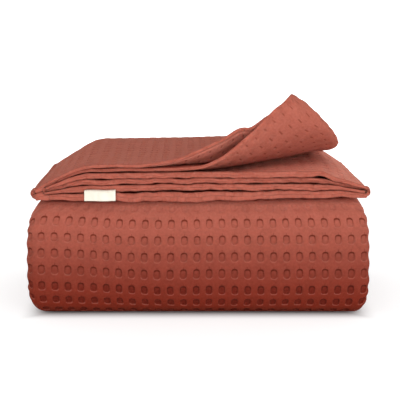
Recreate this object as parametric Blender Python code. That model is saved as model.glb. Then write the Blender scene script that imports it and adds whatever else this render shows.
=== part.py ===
"""A folded waffle weave cotton blanket with its sewn label.

The blanket is one cloth. It is folded across into a strip of six layers, the strip is
folded four times over into a block, and its last pass lies on top as a flap, with the
hems at the front. The right front corner of the flap's two upper layers is rolled back.
Metres, +Z up. The front faces -Y and the block stands on z = 0.
"""

from math import cos, pi, sin, tan

import bmesh
import bpy
from mathutils import Vector

# The cloth, and how its layers lie
CLOTH = 0.004             # thickness over the waffle's ribs
PASS_GAP = 0.0012         # air between two passes of the strip
HALF_WIDTH = 0.2          # the block's, at mid height
FRONT = -0.15
BACK_TURN = 0.115         # y at which the strip turns back

# Heights of each layer's middle over the strip's face on the side of layer 6
LAYERS = (
    # layer, in the block, in the flap, at the flap's hem
    (1, 0.0290, 0.0394, 0.0402),
    (2, 0.0236, 0.0334, 0.0346),
    (3, 0.0182, 0.0264, 0.0282),
    (4, 0.0128, 0.0188, 0.0212),
    (5, 0.0074, 0.0108, 0.0138),
    (6, 0.0020, 0.0030, 0.0056),
)
HEM_RISE = 0.045          # depth over which the hem's heights settle to the flap's
STRIP = 0.031             # the six layers' thickness in the block

# The strip across, from the free edge of layer 3 to the free edge of layer 4.
# Each turn's x is where its round begins, and its bulge is how far the round reaches.
TURNS = (
    # from, to, x in the block, bulge in the block, x in the flap, bulge in the flap, steps
    (3, 6, 0.1904, 0.0075, 0.1946, 0.0028, 4),
    (6, 1, -0.1859, 0.0120, -0.1910, 0.0028, 6),
    (1, 2, 0.1820, 0.0028, 0.1735, 0.0028, 4),
    (2, 5, -0.1720, 0.0075, -0.1675, 0.0028, 4),
    (5, 4, 0.1600, 0.0028, 0.1515, 0.0028, 3),
)
FREE_EDGES = {3: (-0.140, -0.137), 4: (-0.136, -0.133)}     # x in the block, in the flap
COLUMNS = (
    # x in the block, x in the flap, whether only the two upper layers have this point
    (-0.172, -0.168, False),
    (-0.149, -0.146, False),
    (-0.130, -0.128, False),
    (-0.111, -0.110, False),
    (-0.070, -0.070, True),
    (-0.030, -0.030, True),
    (0.000, 0.000, False),
    (0.030, 0.030, True),
    (0.055, 0.055, True),
    (0.080, 0.080, True),
    (0.104, 0.103, False),
    (0.131, 0.128, False),
    (0.154, 0.150, False),
    (0.176, 0.172, False),
)

COLUMN_ROOM = 0.003       # the least between a column and a turn

# The flap thins to a pinched tip on each side
TIP_GAP = 0.0054          # between the middles of the two layers that meet at a tip
TIP_PITCH = 0.0052        # between layers that are pressed together there
TIP_ZONE = 0.03           # over which the lowest hem comes down to the tip
TOP_EASE = 0.0015         # more room under the top layer at the right
LEFT_SLOPE = tan(0.454)
RIGHT_SLOPE = tan(0.262)
LEFT_SPREAD = 0.045       # how fast the lower layers part from each other
RIGHT_SPREAD = 0.03
CREST = 0.008             # how softly a slope meets the flat top

# The flap's front hems, behind FRONT, at the left, in the middle and at the right
HEMS = (
    # layer, left, middle, right
    (1, 0.002, 0.000, 0.001),
    (2, 0.006, 0.005, 0.000),
    (3, 0.003, 0.001, 0.002),
    (4, 0.006, 0.005, 0.007),
    (5, 0.003, 0.002, 0.001),
    (6, 0.000, 0.000, 0.000),
)
HEM_EASE = 0.09           # depth over which an uneven hem straightens

# The rolled corner: each of its layers leaves the flap along a slanted line
ROLL_ANGLE = 0.615        # from straight back, towards the right
ROLLS = {
    # layer: start of its line, first radius, growth, first turn, growth, then bend, growth
    2: (-0.0160, 0.032, 0.600, 1.915, -7.06, 19.5, 149.0),
    1: (-0.0725, 0.120, 0.140, 1.091, -6.00, -2.0, -12.8),
}
LEAST_TURN = 0.02
MOST_BEND = 45.0
JOINED = (0.030, 0.080)   # between these x the top layer closes on the one below it

# Layer 3 stands up a little at the front right, under the corner
BUMP_X = 0.130
BUMP_REACH = 0.055
BUMP_DEPTH = 0.09
BUMP_RISE = 0.0030

# The block's front wrap
CORNER = 0.0376           # outer radius of its top and bottom corners
NEST_GAP = 0.0014         # between the wrap and the turn inside it
FLAP_DEPTHS = (0.0, 0.012, 0.03, 0.055, 0.085, 0.12, 0.16, 0.21)
TURN_STEPS = 6
NEST_STEPS = 5
CORNER_STEPS = 4
FACE_STEPS = 3
BASE_STEPS = 3
PASS_STEPS = 2

# How the whole pile has settled, as shares of the width and of the height
BARREL = 0.072            # how much narrower the block is at its top and bottom
BARREL_MIDDLE = 0.062
BARREL_HEIGHT = 0.066
TAPER = 0.012             # how much narrower the block is at its back turns
WIDEST = -0.08            # y at which the block is widest
LEAN = 0.015              # how much higher the right side is
LOFT = 1.06               # how much the layers stand apart in the pile
INNER_END = 0.133         # y at which the inner pass ends between the two back turns

# The label
LABEL_X = -0.1128
LABEL_WIDTH = 0.036
LABEL_DROP = 0.0105
LABEL_TONGUE = 0.005      # how far it reaches in between layers 5 and 6
LABEL_TAPE = 0.001
CLEAR = 0.0004            # air round the label

PASS_PITCH = STRIP + PASS_GAP
FLAP_FLOOR = 4 * PASS_PITCH - PASS_GAP / 2


def mix(a, b, share):
    return a + (b - a) * share


def ease(share):
    share = min(max(share, 0.0), 1.0)
    return share * share * (3 - 2 * share)


def soft_min(a, b, softness):
    near = max(softness - abs(a - b), 0.0) / softness
    return min(a, b) - near * near * softness / 4


def flap_height(layer, x, depth):
    """Height of a layer's middle over the flap's floor."""
    row = LAYERS[layer - 1]
    hem = 1 - ease(depth / HEM_RISE)
    level = mix(row[2], row[3], hem)
    floor = mix(LAYERS[5][2], LAYERS[5][3], hem * ease((HALF_WIDTH - abs(x)) / TIP_ZONE))
    if layer == 6:
        return floor
    left = x - TURNS[1][4]
    right = TURNS[0][4] - x
    if layer <= 3:
        left_line = TIP_GAP + left * LEFT_SLOPE - (layer - 1) * TIP_PITCH
    else:
        left_line = (6 - layer) * (TIP_PITCH + LEFT_SPREAD * left)
    if layer <= 4:
        right_line = TIP_GAP + right * RIGHT_SLOPE + (3 - layer) * TIP_PITCH
        right_line += TOP_EASE if layer == 1 else 0.0
    else:
        right_line = TIP_PITCH + RIGHT_SPREAD * right
    height = soft_min(level, floor + left_line, CREST)
    return soft_min(height, floor + right_line, CREST)


def leg_points(layer, start, end):
    """Points along one layer as (x in the block, x in the flap, layer)."""
    least, most = min(start[1], end[1]) + COLUMN_ROOM, max(start[1], end[1]) - COLUMN_ROOM
    between = [(block_x, flap_x, layer) for block_x, flap_x, upper in COLUMNS
               if least < flap_x < most and (layer <= 2 or not upper)]
    if end[1] < start[1]:
        between.reverse()
    return [(*start, layer), *between, (*end, layer)]


def strip_plan():
    """The strip across, point by point: ("leg", x in the block, x in the flap, layer) along a
    layer, and ("turn", its row of TURNS, share) round a fold."""
    plan = []
    start = FREE_EDGES[3]
    for turn in TURNS:
        end = (turn[2], turn[4])
        plan += [("leg", *point) for point in leg_points(turn[0], start, end)]
        plan += [("turn", turn, step / turn[6]) for step in range(1, turn[6])]
        start = end
    plan += [("leg", *point) for point in leg_points(4, start, FREE_EDGES[4])]
    return plan


def block_place(point):
    """One point of the strip as (x, height) in the block."""
    if point[0] == "leg":
        return point[1], LAYERS[point[3] - 1][1]
    turn, share = point[1:]
    low, high = LAYERS[turn[0] - 1][1], LAYERS[turn[1] - 1][1]
    outward = 1 if turn[2] > 0 else -1
    x = turn[2] + outward * turn[3] * sin(pi * share)
    return x, mix(low, high, (1 - cos(pi * share)) / 2)


def flap_place(point, depth):
    """One point of the strip as (x, height) in the flap."""
    if point[0] == "leg":
        return point[2], flap_height(point[3], point[2], depth)
    turn, share = point[1:]
    low = flap_height(turn[0], turn[4], depth)
    high = flap_height(turn[1], turn[4], depth)
    outward = 1 if turn[4] > 0 else -1
    x = turn[4] + outward * turn[5] * sin(pi * share)
    return x, mix(low, high, (1 - cos(pi * share)) / 2)


def layer_of(point):
    """A point's layer, between two numbers on a turn."""
    if point[0] == "leg":
        return point[3]
    turn, share = point[1:]
    return mix(turn[0], turn[1], share)


def strip_section(plan, depth, blockness):
    """Both faces of the strip across, as rows of (x, height, layer)."""
    middle = []
    for point in plan:
        flap_x, flap_z = flap_place(point, depth)
        block_x, block_z = block_place(point)
        middle.append((mix(flap_x, block_x, blockness), mix(flap_z, block_z, blockness)))
    rows = []
    for index, (x, height) in enumerate(middle):
        before = middle[max(index - 1, 0)]
        after = middle[min(index + 1, len(middle) - 1)]
        along = Vector((after[0] - before[0], after[1] - before[1])).normalized()
        across = Vector((-along.y, along.x)) * CLOTH / 2
        layer = layer_of(plan[index])
        rows.append([(x + side * across.x, height + side * across.y, layer) for side in (1, -1)])
    return rows


def strip_stations():
    """Where the strip goes from the flap's hem to its inner end. Each station gives the point
    of the strip's layer 6 face, the way to layer 1, its share of the block's shape, and its
    depth behind the hem in the flap."""
    stations = []

    def straight(y_start, y_end, z, up, steps):
        for step in range(1, steps + 1):
            y = mix(y_start, y_end, step / steps)
            stations.append((y, z, 0.0, up, 1.0, None))

    def turn(y, z, radius, start, sweep, steps, inside):
        """Angles are from straight up towards the back; inside puts layer 6 on the inner side."""
        for step in range(1, steps + 1):
            angle = start + sweep * step / steps
            out_y, out_z = sin(angle), cos(angle)
            way = 1 if inside else -1
            stations.append((y + out_y * radius, z + out_z * radius,
                             way * out_y, way * out_z, 1.0, None))

    half_gap = PASS_GAP / 2
    for depth in FLAP_DEPTHS:
        stations.append((FRONT + depth, FLAP_FLOOR, 0.0, 1.0, 0.0, depth))
    for step in range(TURN_STEPS + 1):
        share = step / TURN_STEPS
        angle = pi * share
        lift = half_gap * share
        stations.append((BACK_TURN + lift * sin(angle), FLAP_FLOOR + lift * cos(angle),
                         sin(angle), cos(angle), ease(share), BACK_TURN - FRONT))
    wrap_y = FRONT + CORNER
    wrap_top = FLAP_FLOOR - half_gap
    straight(BACK_TURN, wrap_y, wrap_top, -1.0, PASS_STEPS)
    turn(wrap_y, wrap_top - CORNER, CORNER, 0.0, -pi / 2, CORNER_STEPS, False)
    for step in range(1, FACE_STEPS + 1):
        z = mix(wrap_top - CORNER, CORNER, step / FACE_STEPS)
        stations.append((FRONT, z, 1.0, 0.0, 1.0, None))
    turn(wrap_y, CORNER, CORNER, -pi / 2, -pi / 2, CORNER_STEPS, False)
    straight(wrap_y, BACK_TURN, 0.0, 1.0, BASE_STEPS)
    outer = STRIP + half_gap
    turn(BACK_TURN, outer, outer, pi, -pi, TURN_STEPS, False)
    nest_y = FRONT + STRIP + NEST_GAP + half_gap + STRIP
    straight(BACK_TURN, nest_y, 2 * outer, -1.0, PASS_STEPS)
    turn(nest_y, 2 * outer + half_gap, half_gap, pi, pi, NEST_STEPS, True)
    straight(nest_y, INNER_END, 2 * PASS_PITCH, 1.0, PASS_STEPS)
    return stations


def hem_set_back(layer, x):
    """How far behind the front a hem lies, between the layers' own rows."""
    row = HEMS[min(max(int(layer), 1), 6) - 1]
    following = HEMS[min(int(layer) + 1, 6) - 1]
    across = (x + HALF_WIDTH) / (2 * HALF_WIDTH)

    def place(values):
        if across < 0.5:
            return mix(values[1], values[2], ease(2 * across))
        return mix(values[2], values[3], ease(2 * across - 1))

    return mix(place(row), place(following), layer - int(layer))


def roll(x, depth, rise, settings):
    """Moves a point of the flap's upper layers round its roll, as (x, depth, lift)."""
    start, radius, growth, turn, turn_growth, bend, bend_growth = settings
    along = (x - start) * sin(ROLL_ANGLE) + depth * cos(ROLL_ANGLE)
    beyond = (x - start) * cos(ROLL_ANGLE) - depth * sin(ROLL_ANGLE)
    if beyond <= 0:
        return x, depth, rise
    reach = max(along, 0.0)
    radius += growth * reach
    turn = min(beyond / radius, max(turn + turn_growth * reach, LEAST_TURN))
    bend = min(bend + bend_growth * reach, MOST_BEND)
    angle = turn + bend * (beyond - turn * radius)
    out = radius * sin(turn) + (sin(angle) - sin(turn)) / bend - rise * sin(angle)
    lift = radius * (1 - cos(turn)) + (cos(turn) - cos(angle)) / bend + rise * cos(angle)
    new_x = start + along * sin(ROLL_ANGLE) + out * cos(ROLL_ANGLE)
    return new_x, along * cos(ROLL_ANGLE) - out * sin(ROLL_ANGLE), lift


def rolled_corner(x, depth, height, layer):
    """The flap's layers 1 and 2 with their corner rolled back."""
    base = flap_height(2, x, depth)
    rise = height - base
    lower = roll(x, depth, rise, ROLLS[2])
    if layer > 1.5:
        return lower[0], lower[1], base + lower[2]
    gap = flap_height(1, x, depth) - base
    upper = roll(x, depth, rise - gap, ROLLS[1])
    upper = (upper[0], upper[1], upper[2] + gap)
    closed = ease((x - JOINED[0]) / (JOINED[1] - JOINED[0]))
    new = [mix(a, b, closed) for a, b in zip(upper, lower)]
    return new[0], new[1], base + new[2]


def settle(x, y, z, blockness):
    """The whole pile's barrelled sides, their taper towards the back, and its lean."""
    from_middle = min(abs(z - BARREL_MIDDLE) / BARREL_HEIGHT, 1.0)
    behind = (y - WIDEST) / (BACK_TURN - WIDEST)
    x *= 1 - blockness * (BARREL * from_middle ** 4 + TAPER * behind ** 2)
    z *= LOFT * (1 + LEAN * x / HALF_WIDTH)
    return Vector((x, y, z))


def blanket_point(x, height, layer, station):
    """A point of the folded strip in its place in the pile."""
    y, z, way_y, way_z, blockness, depth = station
    if depth is not None:
        behind = depth + hem_set_back(layer, x) * (1 - ease(depth / HEM_EASE))
        if layer == 3:
            over = abs(x - BUMP_X) / BUMP_REACH
            height += BUMP_RISE * ease(1 - over) * (1 - ease(depth / BUMP_DEPTH))
        if layer <= 2:
            x, behind, height = rolled_corner(x, behind, height, layer)
        y += behind - depth
    return settle(x, y + way_y * height, z + way_z * height, blockness)


def cloth_material(name, colour, roughness):
    material = bpy.data.materials.new(name)
    material.use_nodes = True
    shader = material.node_tree.nodes["Principled BSDF"]
    shader.inputs["Base Color"].default_value = (*colour, 1.0)
    shader.inputs["Roughness"].default_value = roughness
    shader.inputs["Metallic"].default_value = 0.0
    return material


def finish(name, mesh, material):
    bmesh.ops.recalc_face_normals(mesh, faces=mesh.faces)
    data = bpy.data.meshes.new(name)
    mesh.to_mesh(data)
    mesh.free()
    data.materials.append(material)
    data.shade_smooth()
    part = bpy.data.objects.new(name, data)
    bpy.context.collection.objects.link(part)
    return part


def split_along_roll(sheet, plan, place):
    """Cuts the squares of the flap's two upper layers from corner to corner, in the
    direction of the roll, so that both layers bend along the same lines."""
    for face in sheet.faces[:]:
        spots = [place(corner) for corner in face.verts]
        first = min(column for column, row in spots)
        front = min(row for column, row in spots)
        flat = len({side_height(corner) for corner in face.verts}) == 1
        if not flat or front >= len(FLAP_DEPTHS) or layer_of(plan[first]) not in (1, 2):
            continue
        rightward = 0 if layer_of(plan[first]) == 1 else 1
        ends = ((first + rightward, front), (first + 1 - rightward, front + 1))
        near, far = (face.verts[spots.index(end)] for end in ends)
        bmesh.utils.face_split(face, near, far)


def side_height(corner):
    return round(corner.co.z, 3)


def make_blanket():
    """Lays out the cloth flat as a thin sheet of squares, then moves each corner to its
    place in the folds. The sheet's x counts along the strip's section, its y along its way."""
    plan = strip_plan()
    stations = strip_stations()
    columns, rows = len(plan) - 1, len(stations) - 1

    def place(corner):
        return round((corner.co.x + 1) / 2 * columns), round((corner.co.y + 1) / 2 * rows)

    sheet = bmesh.new()
    bmesh.ops.create_grid(sheet, x_segments=columns, y_segments=rows, size=1.0)
    bmesh.ops.solidify(sheet, geom=sheet.faces[:], thickness=1.0)
    split_along_roll(sheet, plan, place)
    sections = []
    for station in stations:
        depth = station[5] if station[5] is not None else 0.0
        sections.append(strip_section(plan, depth, station[4]))
    top = max(side_height(corner) for corner in sheet.verts)
    for corner in sheet.verts:
        column, row = place(corner)
        side = 0 if side_height(corner) == top else 1
        x, height, layer = sections[row][column][side]
        corner.co = blanket_point(x, height, layer, stations[row])
    colour = cloth_material("terracotta waffle cotton", (0.36, 0.088, 0.052), 0.9)
    return finish("blanket", sheet, colour)


def make_label():
    """A bare woven tape, its tongue between layers 5 and 6 and its face over layer 6."""
    seat = flap_height(6, LABEL_X, 0.0) + CLOTH / 2 + CLEAR
    top = settle(LABEL_X, FRONT, FLAP_FLOOR + seat, 0.0).z
    front = FRONT - CLEAR
    tape = bmesh.new()
    outline = (
        (front + LABEL_TONGUE, top),
        (front, top),
        (front, top - LABEL_DROP),
        (front - LABEL_TAPE, top - LABEL_DROP),
        (front - LABEL_TAPE, top + LABEL_TAPE),
        (front + LABEL_TONGUE, top + LABEL_TAPE),
    )
    left = LABEL_X - LABEL_WIDTH / 2
    end = tape.faces.new([tape.verts.new((left, y, z)) for y, z in outline])
    pulled = bmesh.ops.extrude_face_region(tape, geom=[end])["geom"]
    corners = [item for item in pulled if isinstance(item, bmesh.types.BMVert)]
    bmesh.ops.translate(tape, verts=corners, vec=(LABEL_WIDTH, 0, 0))
    return finish("label", tape, cloth_material("cream woven tape", (0.86, 0.83, 0.76), 0.7))


def main():
    for old in list(bpy.data.objects):
        bpy.data.objects.remove(old)
    make_blanket()
    make_label()


main()
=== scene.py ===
"""The looks of a folded waffle weave cotton blanket with its sewn label.

The blanket is one cloth, folded across into a strip of six layers, and the strip is folded
over itself into a block of four passes with a fifth pass, the flap, on top. The cloth is laid
out flat here as thin two-sided sheets, and each point is moved to its place in the folds. A
point's place on the flat cloth also drives the waffle's pockets, in the mesh and in the
material. Metres, +Z up, the front faces -Y.
"""

from math import cos, floor, pi, radians, sin, sqrt, tan

import bmesh
import bpy
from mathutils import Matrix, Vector, noise


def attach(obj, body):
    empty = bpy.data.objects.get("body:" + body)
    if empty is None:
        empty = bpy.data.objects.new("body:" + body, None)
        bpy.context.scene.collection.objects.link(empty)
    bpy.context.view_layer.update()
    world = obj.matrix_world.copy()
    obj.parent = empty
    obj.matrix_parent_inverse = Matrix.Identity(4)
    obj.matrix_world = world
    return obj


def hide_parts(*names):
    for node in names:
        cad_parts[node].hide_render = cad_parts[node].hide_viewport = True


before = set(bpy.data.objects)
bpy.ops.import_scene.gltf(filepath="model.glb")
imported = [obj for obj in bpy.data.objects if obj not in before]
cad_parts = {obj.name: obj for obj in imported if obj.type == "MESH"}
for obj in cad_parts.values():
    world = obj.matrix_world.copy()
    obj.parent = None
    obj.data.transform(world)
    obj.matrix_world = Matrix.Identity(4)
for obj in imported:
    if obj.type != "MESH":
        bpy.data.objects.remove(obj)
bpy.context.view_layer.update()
noise.seed_set(7)         # noise_vector takes its offsets from this, not from the clock

# The cloth
CLOTH = 0.0046            # thickness over the waffle's ribs
CELL_ACROSS = 0.01500     # one cell of the waffle, across the strip and along it
CELL_ALONG = 0.0186
POCKET_WIDTH = 0.245      # half of a pocket, as a share of its cell
POCKET_LENGTH = 0.265
POCKET_DEPTH = 0.0018
POCKET_EDGE = 0.19        # how softly a pocket's wall goes down, as a share of its size
FLATTER = 0.45            # share of the depth in the flap and on the cloth's inner side
DRAWN_FLAT = 0.35         # share of it where the cloth is drawn tight over a turn
DRIFT_ACROSS = 0.0015     # how far the pockets drift, and over what length
DRIFT_ALONG = 0.0018
DRIFT_SIZE = 0.09
UNEVEN = 0.0011           # how far the pile departs from its even shape
UNEVEN_SIZE = 0.075

# Hems: a plain doubled band with a round nose
HEM_BAND = 0.0062
HEM_STEP = 0.0035         # over which the band's thickness goes down to the cloth's
HEM_LAP = 0.001           # how far the waffle goes on into the band
HEM_THICK = {1: 0.0032, 2: 0.0037, 3: 0.0068, 4: 0.0062, 5: 0.0070, 6: 0.0084}
HEM_NOSE = 0.12           # least share of the thickness, at the very edge
FOLD_NOSE = 0.75          # the same where the cloth turns at a side
HEM_WAVE = 0.0017         # how far a hem wanders up and down, over what width and depth
HEM_WAVE_SIZE = 0.032
HEM_WAVE_DEPTH = 0.05
HEM_RIPPLE = 0.0010       # the same, for the small ripples that the waffle makes
HEM_RIPPLE_SIZE = 0.0085
HEM_RIPPLE_DEPTH = 0.02
HEM_TUCK = 0.13           # how much thinner a hem is where the waffle draws it in
HEM_TUCK_SIZE = 0.0085
HEM_TUCK_DEPTH = 0.009
HEM_TUCK_REACH = 0.03     # how far behind the edge the tucks end
HEM_RUFFLE = 0.0024       # how far a hem wanders to and fro, over what width and height
HEM_RUFFLE_SIZE = 0.010
HEM_RUFFLE_HEIGHT = 0.006
HEM_RUFFLE_REACH = 0.02
ROLLED_RUFFLE = 0.3       # share of the ruffle on the two layers of the rolled corner
SIDE_PUCKER = 0.0013      # how far the rows of pockets draw in the folds at the sides
DROOP = 0.0017            # how far the lowest hem hangs, and how much thicker it looks there
DROOP_X = -0.012
DROOP_REACH = 0.15

# How far apart the layers lie in each noise field, so that no two of them move alike, and
# the slice of it that they and the pockets' drift are taken from
WAVE_APART = 5.3
RIPPLE_APART = 9.1
RUFFLE_APART = 3.1
RUFFLE_SLICE = 0.7
TUCK_APART = 7.7
TUCK_SLICE = 0.2
DRIFT_SLICE = 0.3

# The pile, as in the part
PASS_GAP = 0.0012         # air between two passes of the strip
HALF_WIDTH = 0.2          # the block's, at mid height
FRONT = -0.15
BACK_TURN = 0.115         # y at which the strip turns back
STRIP = 0.031             # the six layers' thickness in the block
CORNER = 0.0376           # outer radius of the front's top and bottom corners
NEST_GAP = 0.0014         # between the front wrap and the turn inside it
INNER_END = 0.133         # y at which the inner pass ends between the two back turns
PASS_PITCH = STRIP + PASS_GAP
FLAP_FLOOR = 4 * PASS_PITCH - PASS_GAP / 2
FLAP_LENGTH = BACK_TURN - FRONT

# Heights of each layer's middle over the strip's face on the side of layer 6
LAYERS = (
    # layer, in the block, in the flap, at the flap's hem
    (1, 0.0290, 0.0394, 0.0397),
    (2, 0.0236, 0.0336, 0.0356),
    (3, 0.0182, 0.0268, 0.0293),
    (4, 0.0128, 0.0194, 0.0223),
    (5, 0.0074, 0.0116, 0.0157),
    (6, 0.0020, 0.0036, 0.0073),
)
HEM_RISE = 0.045          # depth over which the hem's heights settle to the flap's

# The strip across, from the free edge of layer 3 to the free edge of layer 4
TURNS = (
    # from, to, x in the block, bulge in the block, x in the flap, bulge in the flap
    (3, 6, 0.1904, 0.0075, 0.1946, 0.0028),
    (6, 1, -0.1859, 0.0120, -0.1868, 0.0045),
    (1, 2, 0.1820, 0.0028, 0.1735, 0.0028),
    (2, 5, -0.1720, 0.0075, -0.1775, 0.0006),
    (5, 4, 0.1600, 0.0028, 0.1925, 0.0004),
)
FROM, TO, BLOCK_X, BLOCK_BULGE, FLAP_X, FLAP_BULGE = range(6)     # the columns of TURNS
FREE_EDGES = {3: (-0.165, -0.1755), 4: (-0.163, -0.1755)}     # x in the block, in the flap
LAYER_ORDER = (3, 6, 1, 2, 5, 4)
NEARLY_HALF = 0.495       # of the room between two layers, so that they never touch

# The flap thins to a pinched tip on each side
TIP_GAP = 0.0060          # the layers' height over the lowest at the right tip, and the left
LEFT_TIP_GAP = 0.0075
TIP_PITCH = 0.0052        # how much higher each of the two top layers lies at the right tip
TIP_ZONE = 0.03
TIP_SINK = 0.0010         # how far a tip hangs
TOP_EASE = 0.0015         # more room under the top layer at the right tip
LEFT_SLOPE = tan(0.454)   # how steeply the layers spread from each tip
RIGHT_SLOPE = tan(0.262)
LEFT_STEEPER = 0.11       # how much steeper that is at the back, and from what depth on
RIGHT_STEEPER = 0.28
STEEPER_DEPTH = 0.2
CREST = 0.008             # how softly the slopes go over into the flat
CLOSING = 0.004           # width over which layers 1 and 6 meet beyond the inner folds
BACK_RISE = 0.09          # how much higher the flap stands towards its back
BACK_RISE_START = 0.1
BACK_RISE_REACH = 0.14
SIDE_BULGE = 0.010        # how much wider its left side is halfway back
SIDE_TAPER = 0.032        # how much narrower its right side is at the back
CORNER_BULGE = 0.022      # how much wider the rolled corner is halfway back
CORNER_BULGE_LENGTH = 0.2
CORNER_TAPER = 0.07       # how much narrower it is at the back
CORNER_TAPER_START = 0.10
CORNER_TAPER_REACH = 0.165
GAP_X = -0.092            # where the top hem lifts off the one below it
GAP_REACH = 0.045
GAP_LIFT = 0.0013

# The flap's front hems, behind FRONT
HEMS = (
    # layer, at the left, in the middle, at the right
    (1, 0.002, 0.000, 0.009),
    (2, 0.006, 0.005, 0.000),
    (3, 0.003, 0.001, 0.002),
    (4, 0.006, 0.005, 0.007),
    (5, 0.003, 0.002, 0.001),
    (6, 0.000, 0.000, 0.000),
)
HEM_EASE = 0.09           # depth over which the hems' places level out

# The rolled corner: each of its layers leaves the flap along a slanted line
ROLLS = {
    # layer: its line's angle from straight back and its start on the hem, first radius,
    # growth, first turn, growth, then bend, growth
    2: (0.615, -0.0160, 0.032, 0.600, 1.915, -7.06, 19.5, 149.0),
    1: (1.000, -0.0710, 0.015, 0.000, 0.100, 5.23, 0.5, 3.0),
}
LEAST_TURN = 0.02
MOST_BEND = 45.0
JOINED = (0.045, 0.095)   # x from and to which the two layers close up into one roll
ROLL_SQUASH = 0.945       # how far the rolled corner has sunk
ROLL_BELLY = 0.007        # how far its edge bends out to the left, halfway up
ROLL_HEIGHT = 0.105
ROLL_BELLY_DEPTH = 0.12

# Layer 3 stands up a little at the front right, under the corner
BUMP_X = 0.142
BUMP_REACH = 0.016
BUMP_DEPTH = 0.09
BUMP_RISE = 0.0030

# How the whole pile has settled
BARREL = 0.072            # how much narrower it is at the top, and at the floor
BARREL_LOW = 0.036
BARREL_MIDDLE = 0.062     # height at which it is widest, and reach above and below it
BARREL_HEIGHT = 0.066
TAPER = 0.012             # how much narrower it is at the back
WIDEST = -0.08            # y at which it is widest
LEAN = 0.015              # how much higher it is at the right
LOFT = 1.06               # how much higher the layers stand than if pressed together
FLOOR_HOLD = 0.03         # height below which the floor keeps it level

# The strip's way from the flap's hem to its inner end
OUTER = STRIP + PASS_GAP / 2
WRAP_Y = FRONT + CORNER
WRAP_TOP = FLAP_FLOOR - PASS_GAP / 2
NEST_Y = FRONT + STRIP + NEST_GAP + PASS_GAP / 2 + STRIP
STRAIGHTS = {
    # stretch: y at its start, y at its end, z, which way layer 1 lies
    "pass_four": (BACK_TURN, WRAP_Y, WRAP_TOP, -1.0),
    "base": (WRAP_Y, BACK_TURN, 0.0, 1.0),
    "pass_two": (BACK_TURN, NEST_Y, 2 * OUTER, -1.0),
    "pass_three": (NEST_Y, INNER_END, 2 * PASS_PITCH, 1.0),
}
ROUNDS = {
    # stretch: y and z of its axis, radius of layer 6's face, angle at its start, sweep, which
    # way layer 1 lies: outwards 1, inwards -1, and how square it is: 2 is round. Angles are
    # from straight up towards the back.
    "top_corner": (WRAP_Y, WRAP_TOP - CORNER, CORNER, 0.0, -pi / 2, -1, 2.8),
    "bottom_corner": (WRAP_Y, CORNER, CORNER, -pi / 2, -pi / 2, -1, 2.0),
    "lower_turn": (BACK_TURN, OUTER, OUTER, pi, -pi, -1, 2.0),
    "nested_turn": (NEST_Y, 2 * OUTER + PASS_GAP / 2, PASS_GAP / 2, pi, pi, 1, 4.5),
}
TURN_STEPS = 12           # into how many a length is cut when it is measured
WAY_STEPS = 24

# Where the pockets' grid is counted from
MIDDLE_POCKET_X = -0.002  # a pocket's middle on the front of the wrap
FACE_POCKET_Z = 0.0485
FIRST_ROW = 0.0132        # the first row's middle behind a hem
ROW_SWAY = 0.0056         # how much higher the rows of pockets lie towards the left
ROW_SWAY_START = 0.05
ROW_SWAY_REACH = 0.13
ROW_CLOSE = 0.0025        # how much closer the lowest row lies to the one above it

# Where light is painted into the cloth's shade: the block's brow under the flap, and layer 3 under
# the corner
BROW_PAINTED_LIGHT = 0.6
BROW_HEIGHT = 0.1165
BROW_STEP = 0.009
BROW_BACK = -0.125        # y at which it starts to go over into the block's top
BROW_FADE = 0.055
SHELF_X = 0.03
SHELF_REACH = 0.06

# The camera
CAMERA_PLACE = (0.0024, -1.824, 0.3879)
CAMERA_PITCH = radians(8.48)
CAMERA_LENS = 132.2
SENSOR_WIDTH = 36


def mix(a, b, share):
    return a + (b - a) * share


def ease(share):
    share = min(max(share, 0.0), 1.0)
    return share * share * (3 - 2 * share)


def soft_min(a, b, softness):
    near = max(softness - abs(a - b), 0.0) / softness
    return min(a, b) - near * near * softness / 4


def hump(share):
    """0 at both ends and 1 halfway."""
    return sin(pi * min(max(share, 0.0), 1.0))


def path_length(spots):
    return sum((b - a).length for a, b in zip(spots, spots[1:]))


# ---------------------------------------------------------------- the folds


def droop(x):
    """How far the lowest hem hangs down over the block's edge."""
    return DROOP * ease(1 - abs(x - DROOP_X) / DROOP_REACH)


def block_level(layer):
    """Height of a layer's middle in the block."""
    return LAYERS[layer - 1][1]


def flap_level(layer, depth):
    """Height of a layer's middle in the flap, away from the tips."""
    in_flap, at_hem = LAYERS[layer - 1][2:]
    level = mix(in_flap, at_hem, 1 - ease(depth / HEM_RISE))
    return level * (1 + BACK_RISE * ease((depth - BACK_RISE_START) / BACK_RISE_REACH))


def hem_wave(layer, x, depth):
    """How far a layer wanders up and down at its hem."""
    place = Vector((x / HEM_WAVE_SIZE, WAVE_APART * layer, depth / HEM_WAVE_DEPTH))
    wave = HEM_WAVE * noise.noise(place)
    if layer >= 3:
        place = Vector((x / HEM_RIPPLE_SIZE, RIPPLE_APART * layer, depth / HEM_RIPPLE_DEPTH))
        wave += HEM_RIPPLE * noise.noise(place)
    return wave


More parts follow.
